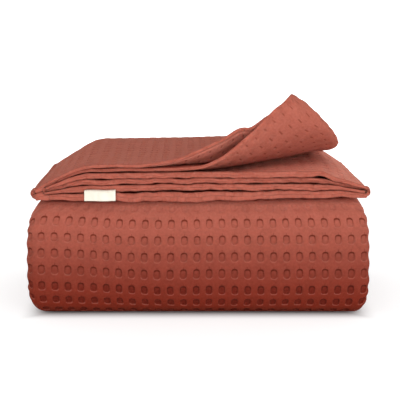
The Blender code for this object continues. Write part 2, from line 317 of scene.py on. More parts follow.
def flap_height(layer, x, depth):
    """Height of a layer's middle over the flap's floor. At the left tip all the layers close
    up under the top one, and at the right tip under layer 3."""
    hem = 1 - ease(depth / HEM_RISE)
    wave = hem_wave(layer, x, depth)
    tip = 1 - ease((HALF_WIDTH - abs(x)) / TIP_ZONE)
    base = flap_level(6, depth) - TIP_SINK * tip
    if layer == 6:
        return base + (wave - droop(x)) * hem
    left = x - TURNS[1][FLAP_X]
    right = TURNS[0][FLAP_X] - x
    whole = flap_level(1, depth) - flap_level(6, depth)
    slope = LEFT_SLOPE + LEFT_STEEPER * ease(depth / STEEPER_DEPTH)
    room = soft_min(whole, LEFT_TIP_GAP + left * slope, CREST) / whole

    def filled(number):
        return (flap_level(number, depth) - flap_level(6, depth)) * room

    height = filled(layer)
    slope = RIGHT_SLOPE + RIGHT_STEEPER * ease(depth / STEEPER_DEPTH)
    right_line = TIP_GAP + right * slope
    if layer >= 3:
        height *= soft_min(filled(3), right_line, CREST) / filled(3)
    else:
        right_line += (3 - layer) * TIP_PITCH + (TOP_EASE if layer == 1 else 0.0)
        height = soft_min(height, right_line, CREST)
    if layer == 1:
        height += GAP_LIFT * ease(1 - abs(x - GAP_X) / GAP_REACH) * hem
    return base + height + wave * hem * room


def turn_place(low, high, x, bulge, share):
    """A point on a fold between two layers, as (x, height)."""
    outward = 1 if x > 0 else -1
    return x + outward * bulge * sin(pi * share), mix(low, high, (1 - cos(pi * share)) / 2)


def block_place(point):
    """One point of the strip as (x, height) in the block."""
    if point["turn"] is None:
        return point["block_x"], block_level(point["layer"])
    turn = point["turn"]
    low, high = block_level(turn[FROM]), block_level(turn[TO])
    return turn_place(low, high, turn[BLOCK_X], turn[BLOCK_BULGE], point["share"])


def flap_place(point, depth):
    """One point of the strip as (x, height) in the flap."""
    if point["turn"] is None:
        return point["flap_x"], flap_height(point["layer"], point["flap_x"], depth)
    turn = point["turn"]
    low = flap_height(turn[FROM], turn[FLAP_X], depth)
    high = flap_height(turn[TO], turn[FLAP_X], depth)
    return turn_place(low, high, turn[FLAP_X], turn[FLAP_BULGE], point["share"])


def leg_ends(layer):
    """A layer's two ends as (x in the block, x in the flap), in the cloth's own order."""
    turns = [(turn[BLOCK_X], turn[FLAP_X]) for turn in TURNS]
    ends = [FREE_EDGES[3], *turns, FREE_EDGES[4]]
    order = LAYER_ORDER.index(layer)
    return ends[order], ends[order + 1]


def turn_length(turn):
    """Length of a fold's round in the block."""
    low, high = block_level(turn[FROM]), block_level(turn[TO])
    spots = [Vector(turn_place(low, high, turn[BLOCK_X], turn[BLOCK_BULGE], step / TURN_STEPS))
             for step in range(TURN_STEPS + 1)]
    return path_length(spots)


def layer_start(layer):
    """How far across the cloth a layer starts."""
    across = 0.0
    for order, before in enumerate(LAYER_ORDER[:LAYER_ORDER.index(layer)]):
        start, end = leg_ends(before)
        across += abs(end[0] - start[0]) + turn_length(TURNS[order])
    return across


def strip_points(legs):
    """The strip across, point by point. legs are rows of (layer, from, to, spacing), where
    from and to are shares of the layer's width. A fold joins a layer that goes on to its end
    to the next."""
    points = []
    for number, (layer, begin, finish, spacing) in enumerate(legs):
        (block_start, flap_start), (block_end, flap_end) = leg_ends(layer)
        width = abs(block_end - block_start)
        steps = max(round(width * (finish - begin) / spacing), 1)
        for step in range(0 if not points or begin == 0 else 1, steps + 1):
            share = mix(begin, finish, step / steps)
            points.append({
                "turn": None,
                "layer": layer,
                "block_x": mix(block_start, block_end, share),
                "flap_x": mix(flap_start, flap_end, share),
                "across": layer_start(layer) + width * share,
            })
        if finish == 1 and number + 1 < len(legs):
            turn = TURNS[LAYER_ORDER.index(layer)]
            length = turn_length(turn)
            steps = max(round(length / FOLD_SPACING), 5)
            for step in range(1, steps):
                points.append({
                    "turn": turn,
                    "share": step / steps,
                    "layer": mix(turn[FROM], turn[TO], step / steps),
                    "across": layer_start(layer) + width + length * step / steps,
                })
    return points


def strip_way(stretch, share):
    """A place along the strip: y and z of layer 6's face, the way to layer 1 as y and z, the
    share of the block's shape, and the depth behind the hem in the flap."""
    if stretch == "flap":
        return FRONT + share * FLAP_LENGTH, FLAP_FLOOR, 0.0, 1.0, 0.0, share * FLAP_LENGTH
    if stretch == "upper_turn":
        lift = PASS_GAP / 2 * share
        up, back = cos(pi * share), sin(pi * share)
        y, z = BACK_TURN + lift * back, FLAP_FLOOR + lift * up
        return y, z, back, up, ease(share), FLAP_LENGTH
    if stretch == "face":
        return FRONT, mix(WRAP_TOP - CORNER, CORNER, share), 1.0, 0.0, 1.0, None
    if stretch in STRAIGHTS:
        start, end, z, up = STRAIGHTS[stretch]
        return mix(start, end, share), z, 0.0, up, 1.0, None
    y, z, radius, start, sweep, way, square = ROUNDS[stretch]
    angle = start + sweep * share
    swell = (abs(sin(angle)) ** square + abs(cos(angle)) ** square) ** (-1 / square)
    back, up = swell * sin(angle), swell * cos(angle)
    return y + radius * back, z + radius * up, way * back, way * up, 1.0, None


def stretch_length(stretch, begin, finish, height):
    """Length of a stretch of the way, at a height over layer 6's face."""
    spots = []
    for step in range(WAY_STEPS + 1):
        y, z, way_y, way_z = strip_way(stretch, mix(begin, finish, step / WAY_STEPS))[:4]
        spots.append(Vector((y + way_y * height, z + way_z * height)))
    return path_length(spots)


def hem_distance(stretch, share):
    """How far a row is from the nearest hem."""
    if stretch == "flap":
        return share * FLAP_LENGTH
    if stretch == "pass_three":
        return (1 - share) * (INNER_END - NEST_Y)
    return 1.0


def strip_rows(stretches, height):
    """The strip along its way, row by row. stretches are rows of (name, from, to, spacing)."""
    rows = []
    along = 0.0
    for name, begin, finish, spacing in stretches:
        length = stretch_length(name, begin, finish, height)
        steps = max(round(length / spacing), 1)
        for step in range(0 if not rows else 1, steps + 1):
            share = mix(begin, finish, step / steps)
            way = strip_way(name, share)
            rows.append({
                "way": way,
                "blockness": way[4],
                "depth": way[5],
                "stretch": name,
                "along": along + length * step / steps,
                "hem": hem_distance(name, share),
            })
        along += length
    return rows


def hem_set_back(layer, x):
    """How far behind the front a hem lies, between the layers' own rows."""
    across = (x + HALF_WIDTH) / (2 * HALF_WIDTH)

    def place(number):
        left, middle, right = HEMS[min(max(number, 1), 6) - 1][1:]
        if across < 0.5:
            return mix(left, middle, ease(2 * across))
        return mix(middle, right, ease(2 * across - 1))

    return mix(place(int(layer)), place(int(layer) + 1), layer - int(layer))


def roll(x, depth, rise, settings):
    """Moves a point of the flap's upper layers round its roll, as (x, depth, lift)."""
    line, start, radius, growth, turn, turn_growth, bend, bend_growth = settings
    along = (x - start) * sin(line) + depth * cos(line)
    beyond = (x - start) * cos(line) - depth * sin(line)
    if beyond <= 0:
        return x, depth, rise
    reach = max(along, 0.0)
    radius += growth * reach
    turn = min(beyond / radius, max(turn + turn_growth * reach, LEAST_TURN))
    bend = min(bend + bend_growth * reach, MOST_BEND)
    angle = turn + bend * (beyond - turn * radius)
    out = radius * sin(turn) + (sin(angle) - sin(turn)) / bend - rise * sin(angle)
    lift = radius * (1 - cos(turn)) + (cos(turn) - cos(angle)) / bend + rise * cos(angle)
    return start + along * sin(line) + out * cos(line), along * cos(line) - out * sin(line), lift


def rolled_corner(x, depth, height, layer):
    """The flap's layers 1 and 2 with their corner rolled back."""
    base = flap_height(2, x, depth)
    rise = height - base
    lower = roll(x, depth, rise, ROLLS[2])
    belly = ROLL_BELLY * hump(lower[2] / ROLL_HEIGHT) * (1 - ease(depth / ROLL_BELLY_DEPTH))
    lower = (lower[0] - belly, lower[1], mix(rise, lower[2], ROLL_SQUASH))
    if layer > 1.5:
        return lower[0], lower[1], base + lower[2]
    gap = flap_height(1, x, depth) - base
    upper = roll(x, depth, rise - gap, ROLLS[1])
    upper = (upper[0], upper[1], upper[2] + gap)
    closed = ease((x - JOINED[0]) / (JOINED[1] - JOINED[0]))
    new = [mix(a, b, closed) for a, b in zip(upper, lower)]
    return new[0], new[1], base + new[2]


def settle(x, y, z, blockness):
    """The pile's barrelled sides, their taper, its lean, and a little unevenness."""
    from_middle = min(abs(z - BARREL_MIDDLE) / BARREL_HEIGHT, 1.0)
    behind = (y - WIDEST) / (BACK_TURN - WIDEST)
    barrel = BARREL if z > BARREL_MIDDLE else BARREL_LOW
    x *= 1 - blockness * (barrel * from_middle ** 4 + TAPER * behind ** 2)
    z *= LOFT * (1 + LEAN * x / HALF_WIDTH)
    place = Vector((x, y, z))
    off_floor = ease(z / FLOOR_HOLD)
    shift = noise.noise_vector(place / UNEVEN_SIZE) * UNEVEN
    return place + Vector((shift.x, shift.y, shift.z * off_floor))


def flap_side(x, behind, layer):
    """How much wider the flap is at one place, as a share."""
    if x < 0:
        return SIDE_BULGE * hump(behind / FLAP_LENGTH)
    if layer >= 3:
        return -SIDE_TAPER * ease(behind / FLAP_LENGTH)
    taper = CORNER_TAPER * ease((behind - CORNER_TAPER_START) / CORNER_TAPER_REACH)
    return CORNER_BULGE * hump(behind / CORNER_BULGE_LENGTH) - taper


def hem_ruffle(layer, x, height, depth):
    """How far a layer wanders to and fro at its hem."""
    across = x / HEM_RUFFLE_SIZE + height / HEM_RUFFLE_HEIGHT
    ruffle = noise.noise(Vector((across, RUFFLE_APART * layer, RUFFLE_SLICE)))
    share = ROLLED_RUFFLE if layer < 3 else 1.0
    return HEM_RUFFLE * share * ruffle * (1 - ease(depth / HEM_RUFFLE_REACH))


def blanket_point(x, height, layer, way):
    """A point of the folded strip in its place in the pile."""
    y, z, way_y, way_z, blockness, depth = way
    if depth is not None:
        behind = depth + hem_set_back(layer, x) * (1 - ease(depth / HEM_EASE))
        behind += hem_ruffle(layer, x, height, depth)
        if layer == 3:
            over = abs(x - BUMP_X) / BUMP_REACH
            height += BUMP_RISE * ease(1 - over) * (1 - ease(depth / BUMP_DEPTH))
        if layer <= 2:
            x, behind, height = rolled_corner(x, behind, height, layer)
        x *= 1 + flap_side(x, behind, layer) * (1 - blockness)
        y += behind - depth
    return settle(x, y + way_y * height, z + way_z * height, blockness)


# ---------------------------------------------------------------- the waffle


def pocket(across, along):
    """How deep a place lies in its pocket, from 0 on the ribs to 1 on the pocket's floor."""
    a = across / CELL_ACROSS
    b = along / CELL_ALONG
    a = abs(a - floor(a + 0.5)) / POCKET_WIDTH
    b = abs(b - floor(b + 0.5)) / POCKET_LENGTH
    out = (a ** 3 + b ** 3) ** (1 / 3)
    return ease((1 + POCKET_EDGE - out) / (2 * POCKET_EDGE))


def wander(across, along):
    """The weave's small drift, so that rows and columns aren't ruled lines."""
    place = Vector((across / DRIFT_SIZE, along / DRIFT_SIZE, DRIFT_SLICE))
    drift = noise.noise_vector(place)
    return across + DRIFT_ACROSS * drift.x, along + DRIFT_ALONG * drift.y


def relief(point, row, side, across, along, plain):
    """How far the waffle, and the pucker of the folds at the sides, draws a point in."""
    outer = row["depth"] is None and side == 0
    depth = POCKET_DEPTH * pocket(*wander(across, along)) * (1 - plain)
    depth *= 1.0 if outer else FLATTER
    depth *= DRAWN_FLAT if row["stretch"] in ("top_corner", "upper_turn") else 1.0
    if point["turn"] is not None and outer:
        depth += SIDE_PUCKER * (0.5 + 0.5 * cos(2 * pi * along / CELL_ALONG))
    return depth


def flap_room(point, x, depth, side):
    """Half the room that the layers beside it leave a point of the flap on one side, and
    whether it has to fill that room."""
    if point["turn"] is not None:
        turn = point["turn"]
        low = flap_height(turn[FROM], turn[FLAP_X], depth)
        high = flap_height(turn[TO], turn[FLAP_X], depth)
        inward = side == (0 if turn in TURNS[3:] else 1)
        return NEARLY_HALF * abs(low - high), 1.0 if inward else 0.0
    layer = point["layer"]
    other = layer - 1 if (side == 0) == (layer in (1, 3, 5)) else layer + 1
    alone = 0.0
    if layer in (1, 6) and 1 <= other <= 6:
        alone = ease((TURNS[3][FLAP_X] - x) / CLOSING)
        other = 7 - layer if alone > 0 else other
    if not 1 <= other <= 6:
        return 1.0, 0.0
    gap = abs(flap_height(other, x, depth) - flap_height(layer, x, depth))
    return NEARLY_HALF * gap, alone


def half_thickness(point, row, x, side):
    """Half the cloth's thickness over its ribs, on one side: a doubled band with a round nose
    at a hem, and no more than the layers beside it leave it."""
    distance, depth, layer = row["hem"], row["depth"], point["layer"]
    half = CLOTH / 2
    if row["stretch"] == "flap" and point["turn"] is None:
        nose_half = HEM_THICK[layer] / 2 + (droop(x) if layer == 6 else 0.0)
        half = mix(nose_half, half, ease((distance - HEM_BAND) / HEM_STEP))
    if depth is not None:
        room, filling = flap_room(point, x, depth, side)
        across = x / HEM_TUCK_SIZE + depth / HEM_TUCK_DEPTH
        tuck = 0.5 + noise.noise(Vector((across, TUCK_APART * layer, TUCK_SLICE)))
        tuck = ease(tuck) * (1 - ease(distance / HEM_TUCK_REACH))
        room *= 1 - HEM_TUCK * tuck * (1 - filling)
        half = mix(mix(min(half, room), room, filling), CLOTH / 2, row["blockness"])
    nose = min(distance / half, 1.0)
    least = HEM_NOSE if point["turn"] is None else FOLD_NOSE
    return half * max(sqrt(1 - (1 - nose) ** 2), least)


def strip_section(points, row):
    """The strip across at one row: each point's middle and the way to side 0, as
    (x, height, normal x, normal height)."""
    blockness, depth = row["blockness"], row["depth"] or 0.0
    middle = []
    for point in points:
        flap = flap_place(point, depth) if blockness < 1 else (0.0, 0.0)
        block = block_place(point) if blockness > 0 else (0.0, 0.0)
        middle.append((mix(flap[0], block[0], blockness), mix(flap[1], block[1], blockness)))
    section = []
    for index, (x, height) in enumerate(middle):
        before = middle[max(index - 1, 0)]
        after = middle[min(index + 1, len(middle) - 1)]
        along = Vector((after[0] - before[0], after[1] - before[1])).normalized()
        section.append((x, height, -along.y, along.x))
    return section


def cloth_tone(name, point, row, side, x, plain):
    """How much a point shows the cloth's other side, and how much light is painted on it where it
    lies in shade.
    """
    layer = point["layer"]
    lining, painted_light = 0.0, 0.0
    if name == "flap_top":
        turned = 1 <= layer <= 2 and point["turn"] is not TURNS[1]
        lining = mix(side, 1 - side, layer - 1) if turned else side
        # painted light on the top layer's underside, which lies in shade where its hem lifts
        painted_light = side * (1 - plain) if layer == 1 else 0.0
    if name == "flap_lower" and layer == 3 and side == 0:
        # painted light on layer 3's top, in the shade of the rolled corner
        painted_light = (1 - plain) * ease((x - SHELF_X) / SHELF_REACH)
    if name == "front_wrap" and side == 0:
        y, z = row["way"][:2]
        # painted light on the block's brow, in the shade under the flap
        painted_light = BROW_PAINTED_LIGHT * ease((z - BROW_HEIGHT) / BROW_STEP)
        painted_light *= 1 - ease((y - BROW_BACK) / BROW_FADE)
    return lining, painted_light


# ---------------------------------------------------------------- making a piece


def make_object(name, mesh, material):
    data = bpy.data.meshes.new(name)
    mesh.to_mesh(data)
    mesh.free()
    data.materials.append(material)
    data.shade_smooth()
    piece = bpy.data.objects.new(name, data)
    bpy.context.collection.objects.link(piece)
    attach(piece, "root")
    return piece


def flat_sheet(columns, rows):
    """A flat two-sided sheet of squares, and what tells a corner's column, row and side."""
    sheet = bmesh.new()
    bmesh.ops.create_grid(sheet, x_segments=columns, y_segments=rows, size=1.0)
    bmesh.ops.solidify(sheet, geom=sheet.faces[:], thickness=1.0)
    top = max(corner.co.z for corner in sheet.verts)

    def place(corner):
        column = round((corner.co.x + 1) / 2 * columns)
        row = round((corner.co.y + 1) / 2 * rows)
        return column, row, 0 if corner.co.z > top - 0.5 else 1

    return sheet, place


def cloth_piece(name, legs, stretches, height, pocket_row, material):
    """One stretch of the cloth, in its folds. height is where its length is measured, and
    pocket_row is a place along it where a row of pockets has its middle."""
    points = strip_points(legs)
    rows = strip_rows(stretches, height)
    sections = [strip_section(points, row) for row in rows]
    middle_pocket = layer_start(6) + TURNS[0][BLOCK_X] - MIDDLE_POCKET_X
    sheet, place = flat_sheet(len(points) - 1, len(rows) - 1)
    cloth = sheet.verts.layers.float_vector.new("cloth")
    lining = sheet.verts.layers.float.new("lining")
    painted_light = sheet.verts.layers.float.new("painted_light")
    for corner in sheet.verts:
        column, number, side = place(corner)
        point, row = points[column], rows[number]
        x, level, normal_x, normal_z = sections[number][column]
        from_middle = point["across"] - middle_pocket
        across = from_middle + side * CELL_ACROSS / 2
        along = row["along"] - pocket_row + side * CELL_ALONG / 2
        along += ROW_SWAY * ease((from_middle - ROW_SWAY_START) / ROW_SWAY_REACH)
        if not name.startswith("flap"):
            along += ROW_CLOSE * ease(along / CELL_ALONG - 1)
        plain = 1 - ease((row["hem"] - HEM_BAND + HEM_LAP) / HEM_STEP)
        out = half_thickness(point, row, x, side) - relief(point, row, side, across, along, plain)
        out *= 1 if side == 0 else -1
        corner[cloth] = (across, along, plain)
        corner[lining], corner[painted_light] = cloth_tone(name, point, row, side, x, plain)
        corner.co = blanket_point(x + out * normal_x, level + out * normal_z,
                                  point["layer"], row["way"])
    bmesh.ops.recalc_face_normals(sheet, faces=sheet.faces)
    piece = make_object(name, sheet, material)
    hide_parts("blanket")
    return piece


# ---------------------------------------------------------------- shader nodes


def link_or_set(tree, socket, value):
    if isinstance(value, bpy.types.NodeSocket):
        tree.links.new(value, socket)
    else:
        socket.default_value = value


def math(tree, operation, *values):
    node = tree.nodes.new("ShaderNodeMath")
    node.operation = operation
    for socket, value in zip(node.inputs, values):
        link_or_set(tree, socket, value)
    return node.outputs[0]


def times(tree, first, *others):
    """The values multiplied with each other."""
    for value in others:
        first = math(tree, "MULTIPLY", first, value)
    return first


def scaled(tree, value, factor, offset):
    return math(tree, "MULTIPLY_ADD", value, factor, offset)


def vector_math(tree, operation, *values):
    node = tree.nodes.new("ShaderNodeVectorMath")
    node.operation = operation
    for socket, value in zip(node.inputs, values):
        link_or_set(tree, socket, value)
    return node.outputs["Vector"]


def parts_of(tree, vector):
    """A vector's X, Y and Z."""
    node = tree.nodes.new("ShaderNodeSeparateXYZ")
    tree.links.new(vector, node.inputs[0])
    return node.outputs


def smooth_range(tree, value, low, high):
    """0 at low and 1 at high, eased between them."""
    node = tree.nodes.new("ShaderNodeMapRange")
    node.interpolation_type = "SMOOTHSTEP"
    link_or_set(tree, node.inputs["Value"], value)
    node.inputs["From Min"].default_value = low
    node.inputs["From Max"].default_value = high
    return node.outputs["Result"]


def band(tree, value, rise, fall):
    """1 between two steps, each given as the values at which it is 0 and 1."""
    return times(tree, smooth_range(tree, value, *rise), smooth_range(tree, value, *fall))


def noise_field(tree, vector, scale, detail, name="Fac"):
    node = tree.nodes.new("ShaderNodeTexNoise")
    node.inputs["Scale"].default_value = scale
    node.inputs["Detail"].default_value = detail
    link_or_set(tree, node.inputs["Vector"], vector)
    return node.outputs[name]


def mix_colour(tree, share, first, second, blend="MIX"):
    node = tree.nodes.new("ShaderNodeMix")
    node.data_type = "RGBA"
    node.blend_type = blend
    link_or_set(tree, node.inputs["Factor"], share)
    link_or_set(tree, node.inputs["A"], first)
    link_or_set(tree, node.inputs["B"], second)
    return node.outputs["Result"]


def grey(tree, value):
    """A value as a grey colour."""
    node = tree.nodes.new("ShaderNodeCombineColor")
    for socket in node.inputs:
        link_or_set(tree, socket, value)
    return node.outputs["Color"]


def new_group(name, inputs, outputs):
    """A shader node group. Its inputs are rows of (name, kind, value), and its outputs are
    names of values."""
    group = bpy.data.node_groups.new(name, "ShaderNodeTree")
    for label, kind, value in inputs:
        socket = group.interface.new_socket(label, in_out="INPUT", socket_type=kind)
        if value is not None:
            socket.default_value = value
    for label in outputs:
        group.interface.new_socket(label, in_out="OUTPUT", socket_type="NodeSocketFloat")
    given = group.nodes.new("NodeGroupInput").outputs
    return group, given, group.nodes.new("NodeGroupOutput").inputs


def use_group(tree, group, **values):
    node = tree.nodes.new("ShaderNodeGroup")
    node.node_tree = group
    for name, value in values.items():
        link_or_set(tree, node.inputs[name], value)
    return node.outputs


def waffle_group():
    """Masks of the waffle from a place on the flat cloth. Pocket is its floor, Edge the ring
    round it, Shade the walls that lie in shade, Rim the lit lower edge, Lines a short tick
    between two rows of pockets, and Strokes what shows of a cell on the cloth's other side."""
    group, given, out = new_group(
        "waffle cells",
        [("Cloth", "NodeSocketVector", None)],
        ["Pocket", "Edge", "Lines", "Shade", "Rim", "Strokes"],
    )
    drift = noise_field(group, given["Cloth"], 11.0, 1.0, "Color")
    drift = vector_math(group, "MULTIPLY_ADD", drift,
                        (0.003, 0.003, 0.0), (-0.0015, -0.0015, 0.0))
    place = vector_math(group, "ADD", given["Cloth"], drift)
    cells = vector_math(group, "MULTIPLY_ADD", place,
                        (1 / CELL_ACROSS, 1 / CELL_ALONG, 0.0), (0.5, 0.5, 0.0))
    cells = vector_math(group, "FRACTION", cells)
    centred = vector_math(group, "SUBTRACT", cells, (0.5, 0.5, 0.0))
    sideways, down = parts_of(group, centred)[:2]
    across, along = parts_of(group, vector_math(group, "ABSOLUTE", centred))[:2]
    a = math(group, "POWER", math(group, "DIVIDE", across, POCKET_WIDTH), 3.0)
    b = math(group, "POWER", math(group, "DIVIDE", along, POCKET_LENGTH), 3.0)
    reach = math(group, "POWER", math(group, "ADD", a, b), 1 / 3)
    inside = smooth_range(group, reach, 1.08, 0.88)
    ring = math(group, "SUBTRACT", smooth_range(group, reach, 1.35, 1.05), inside)
    # The upper wall lies in shade, and less so the upper halves of the two beside it
    wall = band(group, reach, (0.60, 0.80), (1.14, 1.03))
    upper = smooth_range(group, down, -0.10, -0.18)
    beside = times(group, smooth_range(group, down, 0.16, -0.12), 0.55)
    tick = band(group, down, (-0.47, -0.38), (-0.26, -0.30))
    slant = scaled(group, down, 0.35, sideways)
    stroke = band(group, slant, (0.10, 0.17), (0.30, 0.23))
    masks = {
        "Pocket": inside,
        "Edge": ring,
        "Lines": times(group, tick, smooth_range(group, across, 0.045, 0.015)),
        "Shade": times(group, math(group, "MAXIMUM", upper, beside), wall),
        "Rim": times(group, smooth_range(group, down, 0.12, 0.24), ring),
        "Strokes": times(group, stroke, smooth_range(group, along, 0.24, 0.12)),
    }
    for name, mask in masks.items():
        group.links.new(mask, out[name])
    return group


def yarn_group():
    """Height of the single yarns that cross over and under each other."""
    group, given, out = new_group(
        "crossed yarns",
        [("Cloth", "NodeSocketVector", None), ("Pitch", "NodeSocketFloat", 0.001)],
        ["Height", "Mottle"],
    )
    wave = noise_field(group, given["Cloth"], 90.0, 1.0, "Color")
    wave = vector_math(group, "MULTIPLY_ADD", wave, (0.0012, 0.0012, 0.0), given["Cloth"])
    turn = math(group, "DIVIDE", pi, given["Pitch"])
    warp, weft = [math(group, "ABSOLUTE", math(group, "SINE", times(group, part, turn)))
                  for part in parts_of(group, wave)[:2]]
    group.links.new(times(group, warp, weft), out["Height"])
    group.links.new(noise_field(group, given["Cloth"], 420.0, 3.0), out["Mottle"])
    return group


def new_material(name):
    material = bpy.data.materials.new(name)
    material.use_nodes = True
    return material, material.node_tree, material.node_tree.nodes["Principled BSDF"]


def cloth_place(tree):
    """The place on the flat cloth, and how much it belongs to a plain hem."""
    node = tree.nodes.new("ShaderNodeAttribute")
    node.attribute_name = "cloth"
    across, along, plain = parts_of(tree, node.outputs["Vector"])
    flat = tree.nodes.new("ShaderNodeCombineXYZ")
    tree.links.new(across, flat.inputs["X"])
    tree.links.new(along, flat.inputs["Y"])
    return flat.outputs[0], plain


def measured(tree, name):
    """A value that the cloth's points carry."""
    node = tree.nodes.new("ShaderNodeAttribute")
    node.attribute_name = name
    return node.outputs["Fac"]


def object_place(tree):
    return tree.nodes.new("ShaderNodeTexCoord").outputs["Object"]


def bump(tree, height, distance):
    node = tree.nodes.new("ShaderNodeBump")
    node.inputs["Distance"].default_value = distance
    tree.links.new(height, node.inputs["Height"])
    return node.outputs["Normal"]


# The cotton's colours, each pair the two ends of its patches. Painted shade makes it darker towards
# the floor, and painted light makes it lighter towards the top
FLOOR_SHADE_COLOURS = ((0.112, 0.0072, 0.0016, 1), (0.132, 0.0098, 0.0030, 1))     # at the floor
TOP_LIGHT_COLOURS = ((0.374, 0.108, 0.075, 1), (0.417, 0.126, 0.089, 1))          # at the top
# the colour of the painted light in the cloth's shade
PAINTED_LIGHT_TINT = (0.74, 0.25, 0.18, 1)
LIT_RIM = (0.46, 0.16, 0.12, 1)
DARK_SPECK = (0.30, 0.068, 0.043, 1)
POCKET_TINT = (0.60, 0.30, 0.28, 1)     # what a pocket's floor keeps of the light
SHADE_TINT = (0.40, 0.26, 0.22, 1)      # and what its walls, the ticks between rows, the strokes and the tucks keep: painted shade
SHADE_TO_LIGHT_HEIGHTS = (0.0, 0.16)                    # heights between which the cotton goes from the painted shade at the floor to the painted light at the top
POCKET_SHADE_HEIGHTS = (0.055, 0.028)               # heights between which the painted shade on the pockets' floors deepens
BROW_BAND = ((0.120, 0.127), (0.140, 0.136))     # heights at which the brow's waffle is drawn flat


def cotton_masks(tree, cells, flat, plain, above_floor):
    """Where the waffle's masks and the hems' tucks lie, each by its name."""
    waffle = use_group(tree, cells, Cloth=flat)
    lining = measured(tree, "lining")
    brow = band(tree, above_floor, *BROW_BAND)
    woven = times(tree, math(tree, "SUBTRACT", 1.0, plain), scaled(tree, brow, -0.8, 1.0))
    facing = times(tree, woven, math(tree, "SUBTRACT", 1.0, lining))
    masks = {name: times(tree, waffle[name], facing)
             for name in ("Pocket", "Edge", "Lines", "Shade", "Rim")}
    masks["Strokes"] = times(tree, waffle["Strokes"], woven, lining)
    slanted = vector_math(tree, "MULTIPLY", flat, (1.0, 0.4, 1.0))
    tucks = smooth_range(tree, noise_field(tree, slanted, 110.0, 1.0), 0.46, 0.62)
    masks["Tucks"] = times(tree, tucks, plain)
    return masks


def cotton_colour(tree, masks, above_floor, fibres, slubs, mottle):
    """The cotton, darker towards the floor and lighter towards the top as painted shade and painted
    light, with painted light where it lies in shade, then the waffle's painted shades and
    highlights, and the nap.
    """
    patches = noise_field(tree, object_place(tree), 14.0, 3.0)
    floor_shaded = mix_colour(tree, patches, *FLOOR_SHADE_COLOURS)
    top_lit = mix_colour(tree, patches, *TOP_LIGHT_COLOURS)
    # painted shade low on the pile and painted light high on it, for how the light falls
    colour = mix_colour(tree, smooth_range(tree, above_floor, *SHADE_TO_LIGHT_HEIGHTS), floor_shaded, top_lit)
    # painted light where the cloth lies in shade
    colour = mix_colour(tree, times(tree, measured(tree, "painted_light"), 0.8), colour, PAINTED_LIGHT_TINT)
    colour = mix_colour(tree, times(tree, masks["Rim"], 0.3), colour, LIT_RIM)
    # painted shade on the pockets' floors, stronger towards the floor
    pocket_shade = scaled(tree, smooth_range(tree, above_floor, *POCKET_SHADE_HEIGHTS), 0.82, 0.08)
    pocket_shade = times(tree, masks["Pocket"], pocket_shade)
    colour = mix_colour(tree, pocket_shade, colour, POCKET_TINT, "MULTIPLY")
    # painted shade on the pockets' upper walls, the ticks between rows, the strokes of the other
    # side and the hems' tucks
    for name, amount in (("Shade", 1.0), ("Lines", 0.5), ("Strokes", 0.6), ("Tucks", 0.16)):
        shaded = times(tree, masks[name], amount)
        colour = mix_colour(tree, shaded, colour, SHADE_TINT, "MULTIPLY")
    napped = scaled(tree, fibres, 0.5, scaled(tree, slubs, 0.34, 0.58))
    colour = mix_colour(tree, 1.0, colour, grey(tree, napped), "MULTIPLY")
    return mix_colour(tree, times(tree, mottle, 0.3), colour, DARK_SPECK)


def cotton_height(tree, masks, fibres, slubs, yarn):
    """The fine relief of the pockets, tucks, fibres and yarns."""
    height = 0.0
    for field, amount in (
        (masks["Pocket"], -0.42), (masks["Strokes"], -0.3), (masks["Lines"], -0.08),
        (masks["Tucks"], -0.8), (slubs, 0.5), (fibres, 0.35), (masks["Edge"], 0.12),
        (yarn["Height"], 0.12), (yarn["Mottle"], 0.10),
    ):
        height = scaled(tree, field, amount, height)
    return height


def waffle_cotton(cells, yarns):
    """Terracotta cotton: ribs lighter than the pockets, whose shade is painted, painted light
    towards the top and painted shade towards the floor, a soft nap.
    """
    material, tree, shader = new_material("terracotta waffle cotton")
    flat, plain = cloth_place(tree)
    above_floor = parts_of(tree, object_place(tree))["Z"]
    masks = cotton_masks(tree, cells, flat, plain, above_floor)
    yarn = use_group(tree, yarns, Cloth=flat, Pitch=0.00115)
    fibres = noise_field(tree, flat, 330.0, 2.0)
    slubs = noise_field(tree, flat, 75.0, 2.0)
    colour = cotton_colour(tree, masks, above_floor, fibres, slubs, yarn["Mottle"])
    tree.links.new(colour, shader.inputs["Base Color"])
    rough = scaled(tree, yarn["Mottle"], 0.16, 0.76)
    tree.links.new(scaled(tree, masks["Pocket"], 0.05, rough), shader.inputs["Roughness"])
    shader.inputs["Specular IOR Level"].default_value = 0.02
    shader.inputs["IOR"].default_value = 1.2
    shader.inputs["Subsurface Weight"].default_value = 0.35
    shader.inputs["Subsurface Radius"].default_value = (1.0, 0.4, 0.3)
    shader.inputs["Subsurface Scale"].default_value = 0.006
    shader.inputs["Sheen Weight"].default_value = 0.01
    shader.inputs["Sheen Roughness"].default_value = 0.55
    shader.inputs["Sheen Tint"].default_value = (1.0, 0.72, 0.62, 1.0)
    height = cotton_height(tree, masks, fibres, slubs, yarn)
    tree.links.new(bump(tree, height, 0.0012), shader.inputs["Normal"])
    return material


def label_tape(yarns):
    """Cream woven tape with fine ribs and a little unevenness in its colour."""
    material, tree, shader = new_material("cream woven tape")
    place = object_place(tree)
    yarn = use_group(tree, yarns, Cloth=place, Pitch=0.0006)
    tint = noise_field(tree, place, 60.0, 2.0)
    colour = mix_colour(tree, tint, (0.72, 0.66, 0.55, 1), (0.78, 0.73, 0.62, 1))
    speck = times(tree, yarn["Mottle"], 0.3)
    colour = mix_colour(tree, speck, colour, (0.74, 0.69, 0.59, 1))
    tree.links.new(colour, shader.inputs["Base Color"])
    tree.links.new(scaled(tree, yarn["Mottle"], 0.2, 0.45), shader.inputs["Roughness"])
    shader.inputs["Sheen Weight"].default_value = 0.1
    tree.links.new(bump(tree, yarn["Height"], 0.00015), shader.inputs["Normal"])
    return material


# ---------------------------------------------------------------- the pieces

